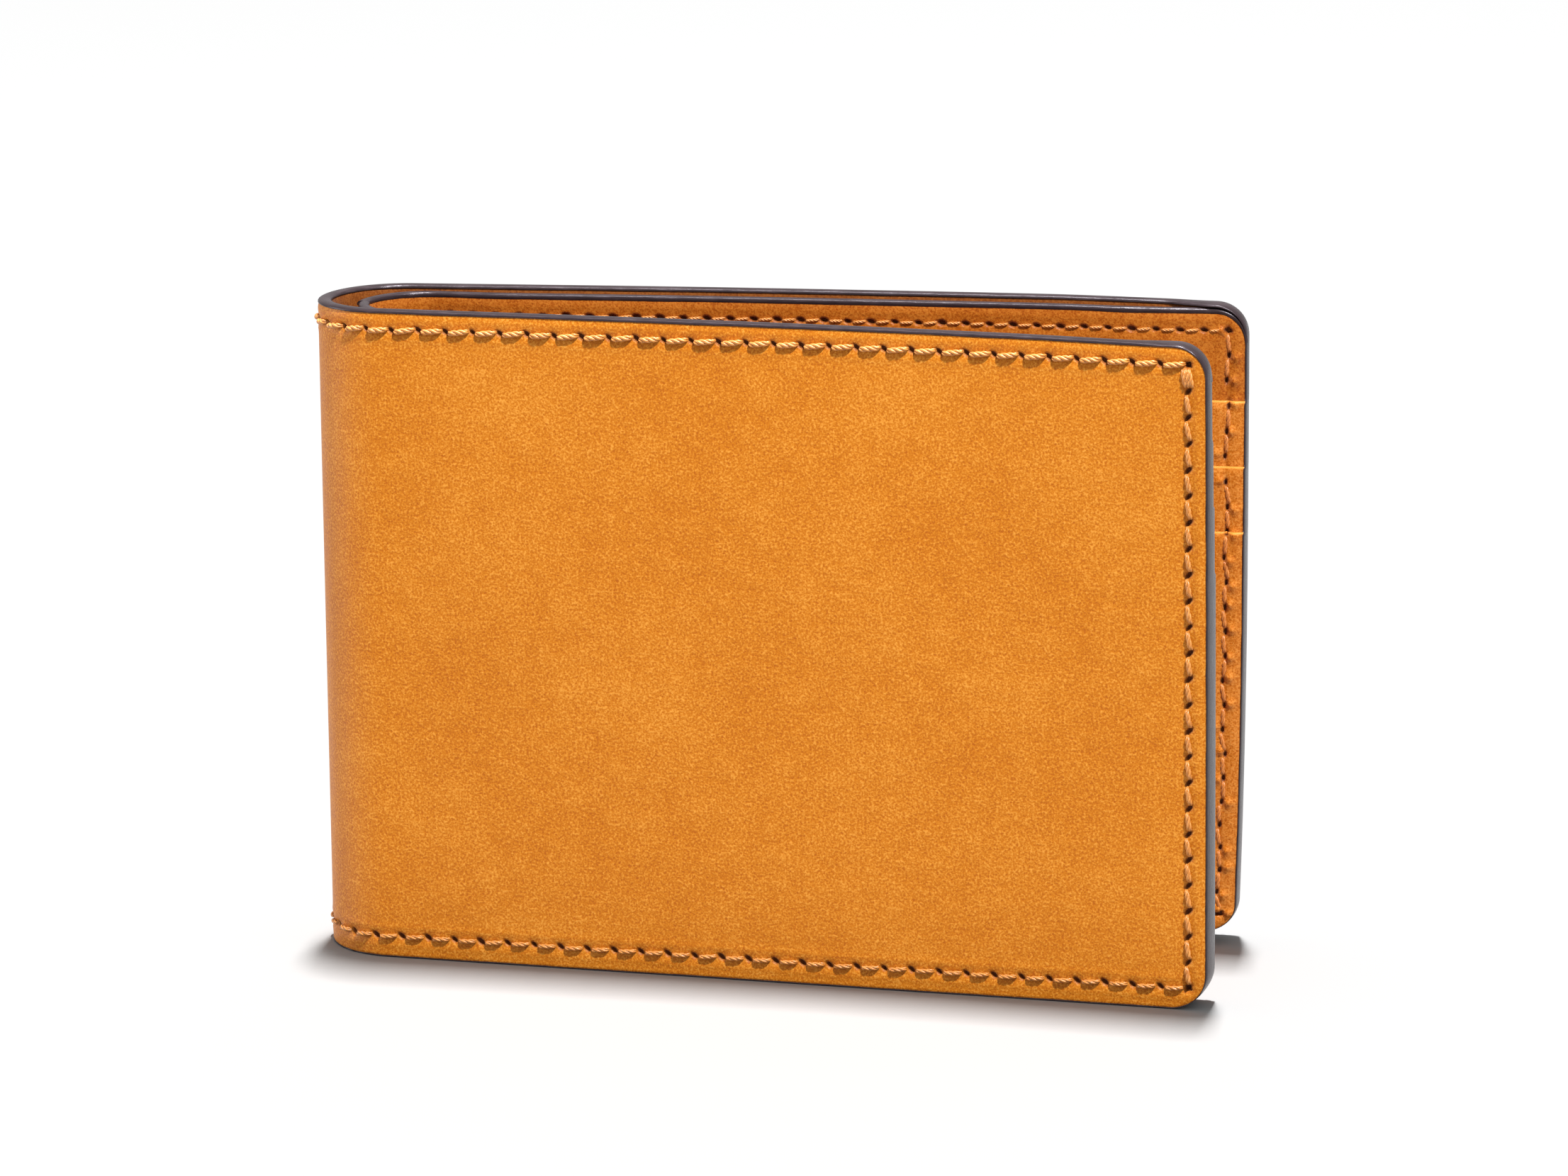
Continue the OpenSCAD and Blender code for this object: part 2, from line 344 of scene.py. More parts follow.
class Seam:
    """A straight line of stitch holes on the flat leather."""

    def __init__(self, start, end, pitch, look, seed):
        self.start = np.array(start, float)
        line = np.array(end, float) - self.start
        self.length = float(np.hypot(*line))
        self.along = line / self.length
        self.left = np.array([-self.along[1], self.along[0]])
        self.count = max(1, round(self.length / pitch))
        self.pitch = self.length / self.count
        self.look = look
        rng = np.random.RandomState(seed)
        self.wander = rng.normal(0, look.wander, self.count + 1)
        self.size = rng.uniform(0.85, 1.15, self.count + 1)
        self.bump_side = rng.uniform(0.5, 1.0, self.count + 1) * rng.choice([-1, 1, 1],
                                                                            self.count + 1)
        self.bump_along = rng.uniform(-0.5, 0.5, self.count + 1)

    def holes(self):
        """Flat positions of the holes."""
        return [self.start + self.along * self.pitch * i for i in range(self.count + 1)]

    def relief(self, x, z):
        """The extra depth that the holes and the tight thread make, and the painted shade that
        darkens the holes and the thread's groove.
        """
        look = self.look
        dx, dz = x - self.start[0], z - self.start[1]
        a = dx * self.along[0] + dz * self.along[1]
        side = dx * self.left[0] + dz * self.left[1]
        nearest = np.clip(np.round(a / self.pitch), 0, self.count).astype(int)
        da = a - nearest * self.pitch
        side = side - self.wander[nearest] * smooth((self.pitch / 2 - np.abs(da)) / 0.5)
        size = self.size[nearest]
        q1 = (da * math.cos(look.tilt) - side * math.sin(look.tilt)) / look.slit / size
        q2 = (da * math.sin(look.tilt) + side * math.cos(look.tilt)) / look.slit_w / size
        hole = np.exp(-(q1 ** 2 + q2 ** 2) ** 1.6)
        inside = smooth(a + 1) * smooth(self.length + 1 - a)
        pull = 0.6 + 0.4 * np.cos(2 * math.pi * da / self.pitch)
        trough = look.trough * np.exp(-(side / look.trough_w) ** 2) * pull * inside
        lip = LIP_HEIGHT * np.exp(-((np.abs(side) - LIP_OFFSET) / MARK_WIDTH) ** 2) * inside
        bump_a = (da - self.bump_along[nearest]) / BUMP_LENGTH
        bump_side = (side - self.bump_side[nearest]) / MARK_WIDTH
        bump = look.bump * np.exp(-bump_a ** 2 - bump_side ** 2) * inside
        # Painted shade: the holes and the tight thread's groove are darkened, as little light gets
        # in
        hole_shade = np.clip(1.6 * hole + 1.4 * trough, 0, 1)
        return HOLE_DEPTH * hole + trough - lip - bump, hole_shade


def seams_relief(names, x, z):
    """The extra depth that some seams make in the leather, and the painted shade in their holes and
    grooves.
    """
    depth, hole_shade = np.zeros_like(x), np.zeros_like(x)
    for name in names:
        more_depth, more_hole_shade = SEAMS[name].relief(x, z)
        depth = depth + more_depth
        hole_shade = np.maximum(hole_shade, more_hole_shade)
    return depth, hole_shade


# ---- Sheets of leather ----

# Width of the thin first column, where the halves meet in the middle of the spine
SEAM_OF_HALVES = 0.04
# The width beside the free edge that takes up the round corners
SQUEEZED = 10.0
# The faces are rolled over a little along the cut edges
EDGE_ROLL = 0.10
EDGE_ROLL_WIDTH = 0.8
# How far a pocket's edges bulge, apart from the top one
COVERED_ROUNDING = 0.03
TINY = 1e-6


def block_step(is_border, size):
    """Every vertex on the border of the merged blocks, where they meet small cells."""
    return 1 if is_border else size


def lattice_faces(ids, x_picks, z_picks):
    """Groups of polygons over a grid of vertex numbers. Blocks of cells between picks merge."""
    rows, columns = ids.shape
    small = np.ones((rows - 1, columns - 1), bool)
    groups = []
    if len(x_picks) > 1 and len(z_picks) > 1:
        small[z_picks[0]:z_picks[-1], x_picks[0]:x_picks[-1]] = False
        for left, right in zip(x_picks, x_picks[1:]):
            for low, high in zip(z_picks, z_picks[1:]):
                wide, tall = right - left, high - low
                loop = [ids[low, left:right:block_step(low == z_picks[0], wide)],
                        ids[low:high:block_step(right == x_picks[-1], tall), right],
                        ids[high, right:left:-block_step(high == z_picks[-1], wide)],
                        ids[high:low:-block_step(left == x_picks[0], tall), left]]
                groups.append(np.concatenate(loop)[None, :])
    j, i = np.nonzero(small)
    groups.append(np.stack([ids[j, i], ids[j, i + 1], ids[j + 1, i + 1], ids[j + 1, i]], axis=-1))
    return groups


def band_faces(loops):
    """Quads between closed loops of vertex numbers."""
    return [np.stack([first, second, np.roll(second, -1), np.roll(first, -1)], axis=-1)
            for first, second in zip(loops, loops[1:])]


def closed_tube(rings):
    """Faces round a tube, from an array with one ring of vertex numbers to a row, and its ends."""
    return band_faces(list(rings)) + [rings[:1], rings[-1:, ::-1]]


class Outline:
    """The outline of a sheet of leather on the flat, with round corners on the free side."""

    def __init__(self, x0, z0, z1, top_r, bottom_r):
        self.x0, self.z0, self.z1 = x0, z0, z1
        self.top_r, self.bottom_r = top_r, bottom_r

    def free_x(self, z):
        """The free edge's x at height z."""
        up = np.clip(z - (self.z1 - self.top_r), 0, self.top_r)
        down = np.clip((self.z0 + self.bottom_r) - z, 0, self.bottom_r)
        top_inset = self.top_r - np.sqrt(self.top_r ** 2 - up ** 2)
        return LEATHER_X - top_inset - (self.bottom_r - np.sqrt(self.bottom_r ** 2 - down ** 2))

    def corner_lines(self, steps=14):
        """Heights that follow the round corners evenly."""
        turn = 1 - np.cos(np.linspace(0, math.pi / 2, steps))
        return np.concatenate([self.z0 + self.bottom_r * turn, self.z1 - self.top_r * turn])


def sheet_grid(outline, near_x, near_z):
    """Grid lines of a sheet, each row's free end, and the x of every grid point.

    Towards the free edge the columns are squeezed to follow the round corners.
    """
    x0 = outline.x0
    x_lines = graded_lines(x0, LEATHER_X, near_x)
    if x0 < 0:
        x_lines = merge_lines(x_lines, [x0, x0 + SEAM_OF_HALVES])
    z_lines = merge_lines(graded_lines(outline.z0, outline.z1, near_z), outline.corner_lines())
    ends = outline.free_x(z_lines)
    zone = LEATHER_X - SQUEEZED
    squeeze = (ends - zone) / (LEATHER_X - zone)
    x_grid = np.where(x_lines[None, :] <= zone, x_lines[None, :],
                      zone + (x_lines[None, :] - zone) * squeeze[:, None])
    return x_lines, z_lines, ends, x_grid


def cover_faces(ids, x_lines, z_lines, area):
    """Faces of one side of a sheet, with coarse blocks inside an area (x0, x1, z0, z1)."""
    left, right, low, high = area
    x_picks = pick_lines(x_lines, left, right, lambda x: 0.7 if x < DIVIDER_SLACK + 1 else 3.0)
    z_picks = pick_lines(z_lines, low, high, lambda z: 3.0)
    return lattice_faces(ids, x_picks, z_picks)


def sheet_of_leather(name, side, run, outline, depths, material, seams=(), shows_inside=False,
                     near_x=(), near_z=(), plain=None, rounding=0.0):
    """A closed sheet of leather between two depths.

    seams are the ones that mark the face that shows. near_x and near_z are the places where the
    grid is fine, and plain is the part (x0, x1, z0, z1) of the showing face that can do with a
    coarse one. rounding is how far the top edge bulges.
    """
    x0, z0, z1 = outline.x0, outline.z0, outline.z1
    x_lines, z_lines, ends, x_grid = sheet_grid(outline, near_x, near_z)
    z_grid = np.repeat(z_lines[:, None], len(x_lines), axis=1)

    edge = np.minimum.reduce([2.5 * (z_grid - z0), z1 - z_grid, ends[:, None] - x_grid])
    roll = EDGE_ROLL * np.clip(1 - edge / EDGE_ROLL_WIDTH, 0, 1) ** 2
    # The seams' extra depth, and the painted shade for their holes and grooves
    extra, hole_shade = seams_relief(seams, x_grid, z_grid)
    nothing = np.zeros_like(extra)
    outer = depths[0] + roll + (nothing if shows_inside else extra)
    inner = depths[1] - roll - (extra if shows_inside else nothing)

    count = x_grid.size
    outer_ids = np.arange(count).reshape(x_grid.shape)
    hidden = (x0 + 0.5, LEATHER_X - 0.5, z0 + 0.5, z1 - 0.5)
    shown = plain or hidden
    outer_faces = cover_faces(outer_ids, x_lines, z_lines, hidden if shows_inside else shown)
    inner_faces = cover_faces(outer_ids + count, x_lines, z_lines,
                              shown if shows_inside else hidden)

    ring = np.concatenate([outer_ids[0, :-1], outer_ids[:-1, -1],
                           outer_ids[-1, :0:-1], outer_ids[:0:-1, 0]])
    xs, zs = [x_grid.ravel()] * 2, [z_grid.ravel()] * 2
    ds, hole_shades = [outer.ravel(), inner.ravel()], [hole_shade.ravel()] * 2
    cuts = [np.zeros(2 * count)]
    loops = [ring]
    if rounding:
        nx, nz = outline_normals(xs[0][ring], zs[0][ring], outline)
        bulge = np.where(nz > 0.5, rounding, COVERED_ROUNDING)
        next_id = 2 * count
        for turn in np.radians([-60, -30, 0, 30, 60]):
            share = 0.5 + 0.5 * math.sin(turn)
            out = math.cos(turn) * bulge
            xs.append(xs[0][ring] + nx * out)
            zs.append(zs[0][ring] + nz * out)
            ds.append(ds[0][ring] * (1 - share) + ds[1][ring] * share)
            hole_shades.append(np.zeros(len(ring)))
            # The rounded edge takes the cut edge's colour, lightened as a painted highlight
            cuts.append(np.ones(len(ring)))
            loops.append(np.arange(next_id, next_id + len(ring)))
            next_id += len(ring)
    loops.append(ring + count)
    groups = outer_faces + [group[:, ::-1] for group in inner_faces] + band_faces(loops)
    x, z, d = map(np.concatenate, (xs, zs, ds))
    return make_object(name, run.wrap(side, x, z, d), groups, side == "back", material, {
        "leather_co": run.leather_co(side, x, z, d),
        "hole_shade": np.concatenate(hole_shades),
        "cut": np.concatenate(cuts),
    })


def outline_normals(x, z, outline):
    """Outward directions at points of a sheet's outline."""
    nx, nz = np.zeros_like(x), np.zeros_like(z)
    at_top, at_bottom = z > outline.z1 - TINY, z < outline.z0 + TINY
    nz[at_top], nz[at_bottom] = 1.0, -1.0
    nx[x < outline.x0 + TINY] = -1.0
    bend_x, bend_z = LEATHER_X - outline.bottom_r, outline.z0 + outline.bottom_r
    bend = (z < bend_z) & (x > bend_x)
    nx[bend] = (x[bend] - bend_x) / outline.bottom_r
    nz[bend] = (z[bend] - bend_z) / outline.bottom_r
    nx[(x > LEATHER_X - TINY) & ~at_top] = 1.0
    length = np.maximum(np.hypot(nx, nz), TINY)
    return nx / length, nz / length


# ---- Edge paint: a domed bead along the leather's cut edges ----

BEAD_LAP = 0.06
THIN_FULLNESS = 0.8


def edge_path(parts, outline):
    """Points and outward directions along an outline. parts says which stretches are wanted."""
    x0, z0, z1, top_r, bottom_r = (outline.x0, outline.z0, outline.z1, outline.top_r,
                                   outline.bottom_r)
    steps = np.arange(x0 + 0.6, LEATHER_X - min(top_r, bottom_r), 0.6)
    row = np.concatenate([[x0, x0 + SEAM_OF_HALVES], steps])
    turn = np.radians(np.arange(0, 91, 6))
    path = []
    if "top" in parts:
        path += [(x, z1, 0, 1) for x in row[row < LEATHER_X - top_r]]
        path += [(LEATHER_X - top_r + top_r * math.sin(t), z1 - top_r + top_r * math.cos(t),
                  math.sin(t), math.cos(t)) for t in turn]
    if "side" in parts:
        path += [(LEATHER_X, z, 1, 0) for z in np.arange(z1 - top_r - 0.3, z0 + bottom_r, -0.3)]
    if "bottom" in parts:
        path += [(LEATHER_X - bottom_r + bottom_r * math.cos(t),
                  z0 + bottom_r - bottom_r * math.sin(t), math.cos(t), -math.sin(t))
                 for t in turn]
        path += [(x, z0, 0, -1) for x in row[row < LEATHER_X - bottom_r][::-1]]
    return np.array(path)


def bead_profile(outer, inner, bulge, lap, fullness):
    """The bead's section as (outward, depth) pairs, from one lap round the dome to the other.

    The paint laps over each face, where it stands a little proud, and its rim is sunk in the
    leather. fullness under 1 makes the dome flatter.
    """
    proud, sunk = 0.04, 0.08
    turn = np.radians(np.linspace(-90, 90, 15))
    out = bulge * np.maximum(np.cos(turn), 0.0) ** fullness
    depth = (outer + inner) / 2 + ((inner - outer) / 2 + proud) * np.sin(turn)
    outer_lap = [(-lap, outer + sunk), (-lap, outer), (-lap * 0.5, outer - proud)]
    inner_lap = [(-lap * 0.5, inner + proud), (-lap, inner), (-lap, inner - sunk)]
    return np.concatenate([outer_lap, np.stack([out, depth], axis=-1), inner_lap])


def bead_sweep(run, side, path, section_at, seed):
    """Points, texture coordinates and polygon groups of a bead along a path.

    The width of its laps wavers, as paint put on by hand does.
    """
    rng = np.random.RandomState(seed)
    span = 9
    waver = np.convolve(rng.normal(0, 1, len(path) + span - 1), np.ones(span) / span,
                        mode="valid")
    travelled = np.concatenate([[0], np.cumsum(np.hypot(*np.diff(path[:, :2], axis=0).T))])
    points, places = [], []
    for (x, z, nx, nz), unevenness, way in zip(path, waver, travelled):
        outer, inner, lap, fullness = section_at(x, z, nx, nz)
        row_edge = TOP_EDGE if nz > 0 else BOTTOM_EDGE
        bulge = SIDE_EDGE + (row_edge - SIDE_EDGE) * smooth(abs(nz))
        uneven_lap = max(lap + 0.07 * unevenness, 0.03)
        section = bead_profile(outer, inner, bulge, uneven_lap, fullness)
        points.append(run.wrap(side, x + nx * section[:, 0], z + nz * section[:, 0],
                               section[:, 1]))
        places.append(np.stack([np.full(len(section), way), section[:, 0], section[:, 1]],
                               axis=-1))
    ids = np.arange(len(path) * len(section)).reshape(len(path), len(section))
    return np.concatenate(points), np.concatenate(places), closed_tube(ids)


def bead_object(name, side, run, paths, section_at, material, seed):
    """One mesh object of one or more beads."""
    points, places, groups, base = [], [], [], 0
    for path in paths:
        more_points, more_places, more_groups = bead_sweep(run, side, path, section_at, seed)
        points.append(more_points)
        places.append(more_places)
        groups += [group + base for group in more_groups]
        base += len(more_points)
    return make_object(name, np.concatenate(points), groups, side == "back", material,
                       {"leather_co": np.concatenate(places)}, sharp_angle=60)


def shell_edge_section(x, z, nx, nz):
    """Depths, lap and fullness of the bead on the shell.

    It takes in the inner layers where they are sewn to the shell: near the top corner, down the
    side with a step at each pocket, and along the bottom.
    """
    sewn_in = DIVIDER_IN - DIVIDER.centre_y
    if nz > 0:
        inner = LINING_IN + smooth((x - LEATHER_X + 10) / 6) * (sewn_in - LINING_IN)
    elif nx > 0.5:
        inner = sewn_in + POCKET_T * pocket_count(z)
    else:
        stack = sewn_in + POCKET_T * len(POCKETS) * smooth((x - POCKET_X + 0.6) / 0.6)
        inner = LINING_IN + (stack - LINING_IN) * smooth((x - 2.0) / 2.0)
    thick = smooth((inner - LINING_IN) / 1.2)
    return 0.0, float(inner), BEAD_LAP, THIN_FULLNESS + 0.2 * float(thick)


def divider_edge_section(x, z, nx, nz):
    """Depths, lap and fullness of the bead on the divider, which laps further at the top."""
    return LINING_IN, DIVIDER_IN, BEAD_LAP + 0.18 * float(smooth(nz)), THIN_FULLNESS


# ---- Thread ----

class ThreadStyle:
    """How a seam's thread lies.

    radius is the whole thread's, rise is how far it stands out, slant is its lean to the seam,
    gap is what it leaves free at each end, and turns is its twist. taper and mess make it
    uneven. The first stitch has a thread at each of the offsets in first.
    """

    def __init__(self, radius, rise, slant, gap, turns, taper=0.0, mess=0.0, first=(0.0,)):
        self.radius, self.rise, self.slant, self.gap = radius, rise, slant, gap
        self.turns, self.taper, self.mess, self.first = turns, taper, mess, first


ROW_THREAD = ThreadStyle(radius=0.38, rise=0.32, slant=0.15, gap=0.34, turns=1.15)
BOTTOM_THREAD = ThreadStyle(radius=0.31, rise=0.24, slant=0.08, gap=0.54, turns=1.0)
COLUMN_THREAD = ThreadStyle(radius=0.34, rise=0.26, slant=0.20, gap=0.42, turns=0.95, taper=0.12,
                            first=(-0.42, -0.05, 0.34))
INNER_THREAD = ThreadStyle(radius=0.29, rise=-0.04, slant=0.10, gap=0.40, turns=1.0, mess=0.20)
DIVIDER_THREAD = ThreadStyle(radius=0.20, rise=0.08, slant=0.08, gap=0.55, turns=1.4)

# A thread's ends go this deep into the leather
THREAD_DIVE = 0.45
# The thread is pulled deeper where it goes round the spine
SPINE_TUCK = 0.20

STRANDS = 3
STRAND_RINGS = 18
STRAND_SIDES = 8


def stitch_points(style, length, handed, shifts, rng):
    """Rings of points round each strand of one stitch, as (along, sideways, height).

    shifts are the sideways places of the two holes.
    """
    u = np.linspace(0, 1, STRAND_RINGS)
    v = 2 * u - 1
    slack = rng.uniform(-1, 1, 4)
    along = style.gap + u * (length - 2 * style.gap)
    sideways = shifts[0] + (shifts[1] - shifts[0]) * u + style.slant * v + style.mess * slack[1]
    rise = style.rise * (1 + 0.15 * slack[2])
    height = (rise + THREAD_DIVE) * (1 - np.abs(v) ** 5) ** 0.6 - THREAD_DIVE
    bundle = style.radius * (1 - 0.40 * np.abs(v) ** 3) * (1 + style.taper * v)
    twist = 2 * math.pi * style.turns * u * handed + slack[3] * 1.2
    ring = np.linspace(0, 2 * math.pi, STRAND_SIDES, endpoint=False)
    strands = []
    for k in range(STRANDS):
        phase = twist + 2 * math.pi * k / STRANDS
        centre = np.stack([along, sideways + 0.50 * bundle * np.cos(phase),
                           height + 0.42 * bundle * np.sin(phase)], axis=-1)
        tangent = np.gradient(centre, axis=0)
        tangent /= np.linalg.norm(tangent, axis=1, keepdims=True)
        across = np.cross([0.0, 0.0, 1.0], tangent)
        across /= np.linalg.norm(across, axis=1, keepdims=True)
        upwards = np.cross(tangent, across)
        size = 0.50 * bundle * (1 - 0.55 * np.abs(v) ** 12)
        strands.append(centre[:, None, :] + size[:, None, None] * (
            np.cos(ring)[None, :, None] * across[:, None, :]
            + np.sin(ring)[None, :, None] * upwards[:, None, :]))
    return strands


def thread_object(name, side, run, jobs, inside, material, seed):
    """All the stitches of some seams. jobs holds (seam, style, which places get a stitch)."""
    rng = np.random.RandomState(seed)
    handed = 1 if (side == "front") != inside else -1
    ids = np.arange(STRAND_RINGS * STRAND_SIDES).reshape(STRAND_RINGS, STRAND_SIDES)
    tube = closed_tube(ids)
    points, fibres = [], []
    for seam_name, style, wanted in jobs:
        seam = SEAMS[seam_name]
        for k in range(seam.count):
            middle = seam.start + seam.along * seam.pitch * (k + 0.5)
            if not wanted(middle):
                continue
            for offset in style.first if k == 0 else (0.0,):
                shifts = seam.wander[k:k + 2] + offset
                strands = stitch_points(style, seam.pitch, handed, shifts, rng)
                for s, strand in enumerate(strands):
                    a, b, h = (strand[..., i] for i in range(3))
                    a = a + k * seam.pitch
                    x = seam.start[0] + seam.along[0] * a + seam.left[0] * b
                    z = seam.start[1] + seam.along[1] * a + seam.left[1] * b
                    h = h - SPINE_TUCK * (1 - smooth((x - run.apex) / 10))
                    depth = inner_face_depth(middle[1]) + h if inside else -h
                    points.append(run.wrap(side, x, z, depth).reshape(-1, 3))
                    place = [a, np.full_like(a, 10.0 * s) + np.arange(STRAND_SIDES),
                             np.full_like(a, k)]
                    fibres.append(np.stack(place, axis=-1).reshape(-1, 3))
    groups = [np.concatenate([group + n * ids.size for n in range(len(points))])
              for group in tube]
    return make_object(name, np.concatenate(points), groups, (side == "back") == inside,
                       material, {"leather_co": np.concatenate(fibres)}, sharp_angle=75)


# ---- Materials ----

class Nodes:
    """A short way to build a material's node tree."""

    def __init__(self, name):
        self.material = bpy.data.materials.new(name)
        self.material.use_nodes = True
        self.tree = self.material.node_tree
        self.shader = self.tree.nodes["Principled BSDF"]

    def feed(self, socket, value):
        """Give an input a value, or link it to another node's output."""
        if isinstance(value, bpy.types.NodeSocket):
            self.tree.links.new(value, socket)
        else:
            socket.default_value = value

    def add(self, kind, **settings):
        """A node with its properties and inputs set."""
        node = self.tree.nodes.new(kind)
        for key, value in settings.items():
            if hasattr(node, key):
                setattr(node, key, value)
            else:
                self.feed(node.inputs[key.replace("_", " ")], value)
        return node

    def attribute(self, name):
        """A number that the mesh holds for each of its points."""
        return self.add("ShaderNodeAttribute", attribute_name=name).outputs["Fac"]

    def place(self):
        """The leather's texture coordinates."""
        return self.add("ShaderNodeAttribute", attribute_name="leather_co").outputs["Vector"]

    def scaled(self, vector, scale):
        """The vector times a scale for each axis."""
        node = self.add("ShaderNodeVectorMath", operation="MULTIPLY")
        self.feed(node.inputs[0], vector)
        self.feed(node.inputs[1], scale)
        return node.outputs[0]

    def noise(self, vector, scale, detail=2.0, rough=0.5):
        """Smooth noise from 0 to 1."""
        return self.add("ShaderNodeTexNoise", Vector=vector, Scale=scale, Detail=detail,
                        Roughness=rough).outputs["Fac"]

    def cells(self, vector, scale):
        """Distance to the nearest of some scattered points."""
        return self.add("ShaderNodeTexVoronoi", Vector=vector, Scale=scale).outputs["Distance"]

    def maths(self, operation, first, second):
        """A sum or a product of two values."""
        node = self.add("ShaderNodeMath", operation=operation)
        self.feed(node.inputs[0], first)
        self.feed(node.inputs[1], second)
        return node.outputs[0]

    def line(self, value, slope, start):
        """slope times a value, plus start."""
        return self.maths("ADD", self.maths("MULTIPLY", value, slope), start)

    def ramp(self, factor, stops):
        """A colour ramp of (position, colour) stops."""
        node = self.add("ShaderNodeValToRGB", Fac=factor)
        ramp = node.color_ramp
        while len(ramp.elements) < len(stops):
            ramp.elements.new(0.5)
        for element, (position, colour) in zip(ramp.elements, stops):
            element.position = position
            element.color = (*colour, 1.0)
        return node.outputs["Color"]

    def mix(self, factor, base, colour):
        """From a base colour, which is a socket, to another colour."""
        node = self.add("ShaderNodeMix", data_type="RGBA", Factor=factor)
        self.feed(node.inputs[6], base)
        self.feed(node.inputs[7], (*colour, 1.0))
        return node.outputs[2]

    def bump(self, height, strength, distance_mm, **more):
        """A bumpy normal. more may give the Normal that it adds to."""
        return self.add("ShaderNodeBump", Height=height, Strength=strength,
                        Distance=distance_mm * MM, **more).outputs["Normal"]

    def shade(self, **settings):
        """Set the shader's inputs, and return the finished material."""
        for key, value in settings.items():
            self.feed(self.shader.inputs[key.replace("_", " ")], value)
        return self.material


# Painted shade: a dark brown put into the stitch holes and the thread's grooves
HOLE_SHADE_COLOUR = (0.110, 0.027, 0.006)
# The rounded cut edges' own colour, lightened as a painted highlight along the pockets' top edges
CUT_EDGE_AND_HIGHLIGHT = (0.620, 0.230, 0.030)


def leather_material(name, dark, middle, light, streaks, roughness, grain):
    """Full-grain leather: fine speckle, soft mottling, faint upright streaks and a satin face."""
    n = Nodes(name)
    place = n.place()
    speckle = n.noise(place, 3.4, 3.0, 0.75)
    pores = n.cells(place, 4.0)
    cloud = n.noise(place, 0.045, 3.0, 0.55)
    patch = n.noise(place, 0.30, 3.0, 0.6)
    streak = n.noise(n.scaled(place, (1.1, 0.07, 1.0)), 1.0, 2.0, 0.5)
    tone = n.maths("MULTIPLY", speckle, 0.62)
    for value, share in ((pores, 0.16), (cloud, 0.12), (patch, 0.10), (streak, streaks)):
        tone = n.maths("ADD", tone, n.maths("MULTIPLY", value, share))
    colour = n.ramp(tone, [(0.385, dark), (0.51, middle), (0.635, light)])
    # The rounded cut edges get their colour, lightened as a painted highlight
    colour = n.mix(n.attribute("cut"), colour, CUT_EDGE_AND_HIGHLIGHT)
    # Painted shade in the stitch holes and the thread's grooves
    colour = n.mix(n.attribute("hole_shade"), colour, HOLE_SHADE_COLOUR)
    rough = n.line(patch, 0.16, n.maths("MULTIPLY", speckle, 0.10))
    rough = n.maths("ADD", rough, roughness - 0.13)
    fine = n.bump(pores, grain, 0.05)
    coarse = n.bump(speckle, grain, 0.08, Normal=fine)
    return n.shade(Base_Color=colour, Roughness=rough,
                   Normal=n.bump(patch, 0.35, 0.25, Normal=coarse),
                   Specular_IOR_Level=0.18, Sheen_Weight=0.10, Sheen_Roughness=0.45)


def edge_paint_material():
    """Slate edge paint, brushed on by hand along the edge and buffed."""
    n = Nodes("edge_paint")
    place = n.place()
    drag = n.noise(n.scaled(place, (0.5, 5.0, 5.0)), 1.0, 3.0, 0.6)
    cloud = n.noise(place, 0.4, 2.0, 0.5)
    tone = n.line(drag, 0.6, n.maths("MULTIPLY", cloud, 0.4))
    colour = n.ramp(tone, [(0.30, (0.014, 0.009, 0.010)), (0.55, (0.023, 0.015, 0.017)),
                           (0.75, (0.040, 0.029, 0.033))])
    return n.shade(Base_Color=colour, Roughness=n.line(drag, 0.25, 0.16),
                   Normal=n.bump(drag, 0.6, 0.06), Specular_IOR_Level=0.18,
                   Specular_Tint=(0.96, 0.90, 1.0, 1.0))


def thread_material(name, dark, middle, light):
    """Waxed twisted thread: fine fibres along each strand."""
    n = Nodes(name)
    place = n.place()
    fibre = n.noise(n.scaled(place, (0.9, 1.6, 1.0)), 1.0, 3.0, 0.6)
    colour = n.ramp(fibre, [(0.28, dark), (0.50, middle), (0.72, light)])
    return n.shade(Base_Color=colour, Roughness=n.line(fibre, 0.25, 0.28),
                   Normal=n.bump(fibre, 0.5, 0.04), Specular_IOR_Level=0.55, Sheen_Weight=0.05)


def floor_material():
    """A plain pale floor."""
    return Nodes("pale_floor").shade(Base_Color=(0.35, 0.35, 0.35, 1.0), Roughness=0.9,
                                     Specular_IOR_Level=0.1)


shell_leather = leather_material(
    "shell_leather", dark=(0.330, 0.078, 0.0005), middle=(0.450, 0.136, 0.0015),
    light=(0.610, 0.245, 0.0300), streaks=0.02, roughness=0.50, grain=0.30)
# The divider's leather: its own reddish, streaky tone, darkened as painted shade for the strip of
# the back half's inside that the front half shades
inner_leather = leather_material(
    "inner_leather", dark=(0.205, 0.038, 0.0005), middle=(0.295, 0.071, 0.0015),
    light=(0.410, 0.130, 0.0120), streaks=0.10, roughness=0.46, grain=0.35)
# The same leather on the pockets, lighter than the divider's as painted light, where more light
# reaches low down between the halves
pocket_leather_with_painted_light = leather_material(
    "pocket_leather_with_painted_light", dark=(0.285, 0.062, 0.0010), middle=(0.415, 0.116, 0.0050),
    light=(0.560, 0.205, 0.0320), streaks=0.10, roughness=0.46, grain=0.35)
# The linings' leather, darkened as painted shade for the narrow, deep bill compartment
lining_leather_with_painted_shade = leather_material(
    "lining_leather_with_painted_shade", dark=(0.110, 0.022, 0.0005), middle=(0.170, 0.041, 0.0020),
    light=(0.240, 0.072, 0.0090), streaks=0.10, roughness=0.60, grain=0.25)
edge_paint = edge_paint_material()
thread = thread_material("waxed_thread", dark=(0.280, 0.078, 0.008),
                         middle=(0.465, 0.168, 0.024), light=(0.660, 0.310, 0.080))
inner_thread = thread_material("flat_thread", dark=(0.300, 0.075, 0.006),
                               middle=(0.450, 0.145, 0.022), light=(0.600, 0.250, 0.060))


# ---- Building a half ----

